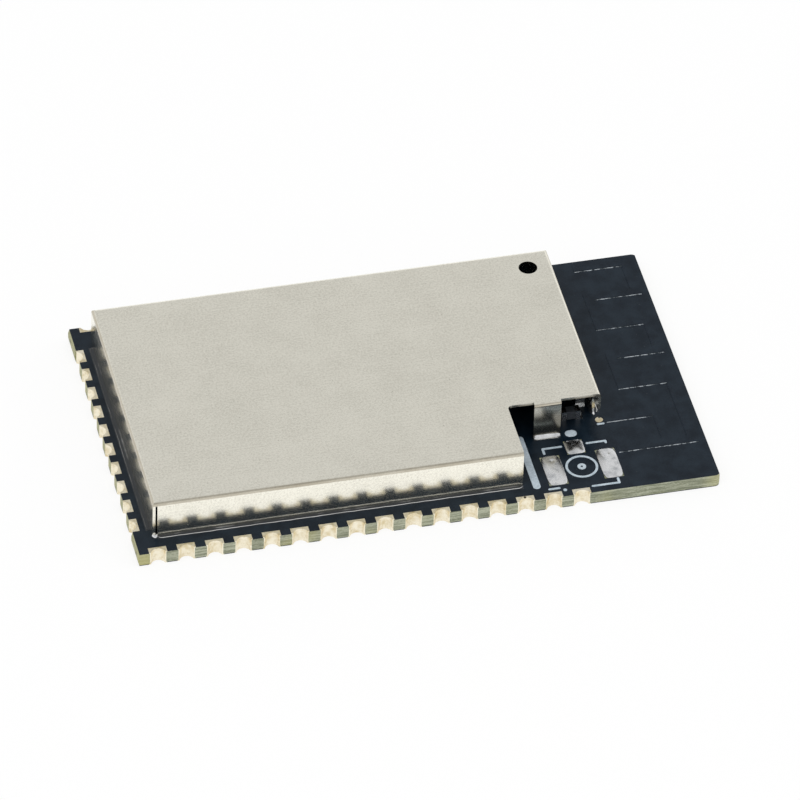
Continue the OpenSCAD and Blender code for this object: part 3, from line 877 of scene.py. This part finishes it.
@dataclass
class CircuitBoard:
    """The laminate, lacquer, contact rows and the antenna under the lacquer. Sizes are in millimetres."""

    forming: Forming
    edge_reach: float = 0.06
    edge_rise: float = 0.021
    edge_gap: float = 0.03

    def build(self) -> None:
        """Dresses the board."""
        dress(LAMINATE, "circuit_board")
        dress(MASK, "top_solder_mask", "bottom_solder_mask")
        dress(GOLD, "front_contacts", "left_contacts", "back_contacts", "feed_pad")
        dress(COPPER, "antenna_track")
        self._antenna_edges()

    def _antenna_edges(self) -> None:
        """Draws a thin strip of lacquer along each track edge that faces the front, coloured pale as a
        painted highlight.
        """
        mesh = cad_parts["antenna_track"].data
        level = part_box("shield_can")[0].z
        edges: dict[float, list[float]] = {}
        for face in mesh.polygons:
            if face.normal.y < -0.9:
                spots = [mesh.vertices[i].co for i in face.vertices]
                edges.setdefault(round(spots[0].y, 5), []).extend(spot.x for spot in spots)
        form = bmesh.new()
        for y, reaches in sorted(edges.items()):
            start = min(reaches)
            end = max(reaches)
            count = max(6, int((end - start) / (0.1 * MM)))
            rings = []
            for i in range(count + 1):
                x = start + (end - start) * i / count
                reach = self.edge_reach * MM * (0.8 + 0.2 * math.sin(i * 1.7))
                near = y - self.edge_gap * MM
                rings.append([Vector((x, near, level)),
                              Vector((x, near, level + self.edge_rise * MM)),
                              Vector((x, near - reach * 0.5, level + self.edge_rise * 0.8 * MM)),
                              Vector((x, near - reach, level))])
            Forming.tube(form, rings)
        self.forming.piece("antenna_edge_highlight", form, EDGE_HIGHLIGHT)


@dataclass
class ShieldCan:
    """The folded can on its tinned lands."""

    solder: SolderWork

    def build(self) -> None:
        """Dresses the can and solders it down."""
        dress(CAN_SHEET, "shield_can")
        dress(SHADED_SOLDER, "shield_lands")
        dress(SOLDER, "shield_solder")
        self.solder.build()


@dataclass
class RadioParts:
    """The chips and small parts under the can."""

    finishes: dict[str, Finish] = field(default_factory=lambda: {
        "radio_chip": MOULD, "memory_chip": MOULD, "radio_chip_lands": TINNED,
        "memory_chip_legs": TINNED, "crystal_base": CRYSTAL_BODY, "crystal_lid": LID_METAL,
        "capacitor_bodies": CAPACITOR, "capacitor_ends": TINNED,
        "reservoir_capacitor_body": CAPACITOR, "reservoir_capacitor_ends": TINNED,
        "resistor_bodies": RESISTOR, "resistor_ends": TINNED,
        "inductor_body": INDUCTOR, "inductor_ends": TINNED, "part_lands": TINNED,
    })

    def build(self) -> None:
        """Dresses each part."""
        for name, finish in self.finishes.items():
            dress(finish, name)


@dataclass
class Studio:
    """A pale floor, soft lamps and the camera. Sizes are in metres, angles in degrees."""

    target: Point = (0.0002326, -0.0007609, 0.0015)
    distance: float = 0.45364
    azimuth: float = -14.516
    elevation: float = 41.463
    roll: float = 1.995
    lens: float = 389.84
    floor_size: float = 3.0
    horizon: float = 1.0
    sky: float = 0.64
    shadow_share: float = 0.20

    def build(self) -> None:
        """Builds the camera, floor, sky and lamps."""
        self._camera()
        self._floor()
        self._sky()
        self._lamp("key_lamp", (-0.55, -0.45, 0.85), 0.55, 2.3)
        self._lamp("top_lamp", (0.10, -0.15, 1.05), 0.70, 1.8)
        self._lamp("side_lamp", (0.85, -0.10, 0.55), 0.45, 0.7)

    def _camera(self) -> None:
        """Sets the camera."""
        around = math.radians(self.azimuth)
        rise = math.radians(self.elevation)
        back = Vector((math.sin(around) * math.cos(rise), -math.cos(around) * math.cos(rise),
                       math.sin(rise)))
        lens = bpy.data.cameras.new("camera")
        lens.lens = self.lens
        lens.sensor_width = 36.0
        lens.clip_start = 0.02
        lens.clip_end = 20.0
        camera = bpy.data.objects.new("camera", lens)
        turn = (-back).to_track_quat("-Z", "Y").to_matrix().to_4x4()
        spot = Vector(self.target) + back * self.distance
        lean = Matrix.Rotation(math.radians(self.roll), 4, "Z")
        camera.matrix_world = Matrix.Translation(spot) @ turn @ lean
        bpy.context.scene.collection.objects.link(camera)
        bpy.context.scene.camera = camera

    @staticmethod
    def _seen(desk: NodeDesk) -> Signal:
        """Gives 1 for rays that show the background.

        Args:
            desk: The desk to build on.

        Returns:
            1 for camera, glossy and transmission rays.
        """
        flags = [desk.add("ShaderNodeLightPath", output=name)
                 for name in ("Is Camera Ray", "Is Glossy Ray", "Is Transmission Ray")]
        return desk.add("ShaderNodeMath", {"operation": "MINIMUM"},
                        {0: flags[0] + flags[1] + flags[2], 1: 1.0})

    def _floor(self) -> None:
        """Lays the floor."""
        form = bmesh.new()
        bmesh.ops.create_grid(form, x_segments=8, y_segments=8, size=self.floor_size / 2)
        mesh = bpy.data.meshes.new("floor")
        form.to_mesh(mesh)
        form.free()
        floor = bpy.data.objects.new("floor", mesh)
        floor.location.z = -0.00001
        bpy.context.scene.collection.objects.link(floor)
        paper = bpy.data.materials.new("floor_paper")
        paper.use_nodes = True
        desk = NodeDesk(paper.node_tree)
        matt = desk.add("ShaderNodeBsdfDiffuse", None, {"Color": (1.0, 1.0, 1.0)})
        glow = desk.add("ShaderNodeEmission", None, {"Color": (1.0, 1.0, 1.0), "Strength": 1.0})
        share = self._seen(desk) * (1 - self.shadow_share)
        mixed = desk.add("ShaderNodeMixShader", None, {0: share, 1: matt, 2: glow})
        desk.add("ShaderNodeOutputMaterial", None, {"Surface": mixed})
        mesh.materials.append(paper)

    def _sky(self) -> None:
        """Makes the sky: white at the horizon and a soft grey above."""
        world = bpy.data.worlds.new("studio")
        world.use_nodes = True
        bpy.context.scene.world = world
        desk = NodeDesk(world.node_tree)
        up = desk.axis(desk.add("ShaderNodeTexCoord", output="Generated"), "Z")
        level = self.horizon - desk.between(up, 0.05, 0.55) * (self.horizon - self.sky)
        light = desk.add("ShaderNodeBackground", None, {"Color": (1.0, 1.0, 1.0), "Strength": level})
        desk.add("ShaderNodeOutputWorld", None, {"Surface": light})

    @staticmethod
    def _lamp(name: str, spot: Point, size: float, power: float) -> None:
        """Hangs a soft square lamp that faces the part and that metal doesn't mirror.

        Args:
            name: Its name.
            spot: Its place.
            size: Its side.
            power: Its power in watts.
        """
        light = bpy.data.lights.new(name, "AREA")
        light.size = size
        light.energy = power
        lamp = bpy.data.objects.new(name, light)
        lamp.location = spot
        lamp.visible_glossy = False
        lamp.rotation_mode = "QUATERNION"
        lamp.rotation_quaternion = (-Vector(spot)).to_track_quat("-Z", "Y")
        bpy.context.scene.collection.objects.link(lamp)


def main() -> None:
    """Builds every sub-assembly in order."""
    logging.basicConfig(level=logging.INFO, format="%(name)s %(message)s")
    forming = Forming()
    CircuitBoard(forming).build()
    ShieldCan(SolderWork(forming)).build()
    ConnectorFootprint(forming).build()
    RadioParts().build()
    Studio().build()
    bpy.context.scene.view_settings.view_transform = "Standard"


if __name__ == "__main__":
    main()
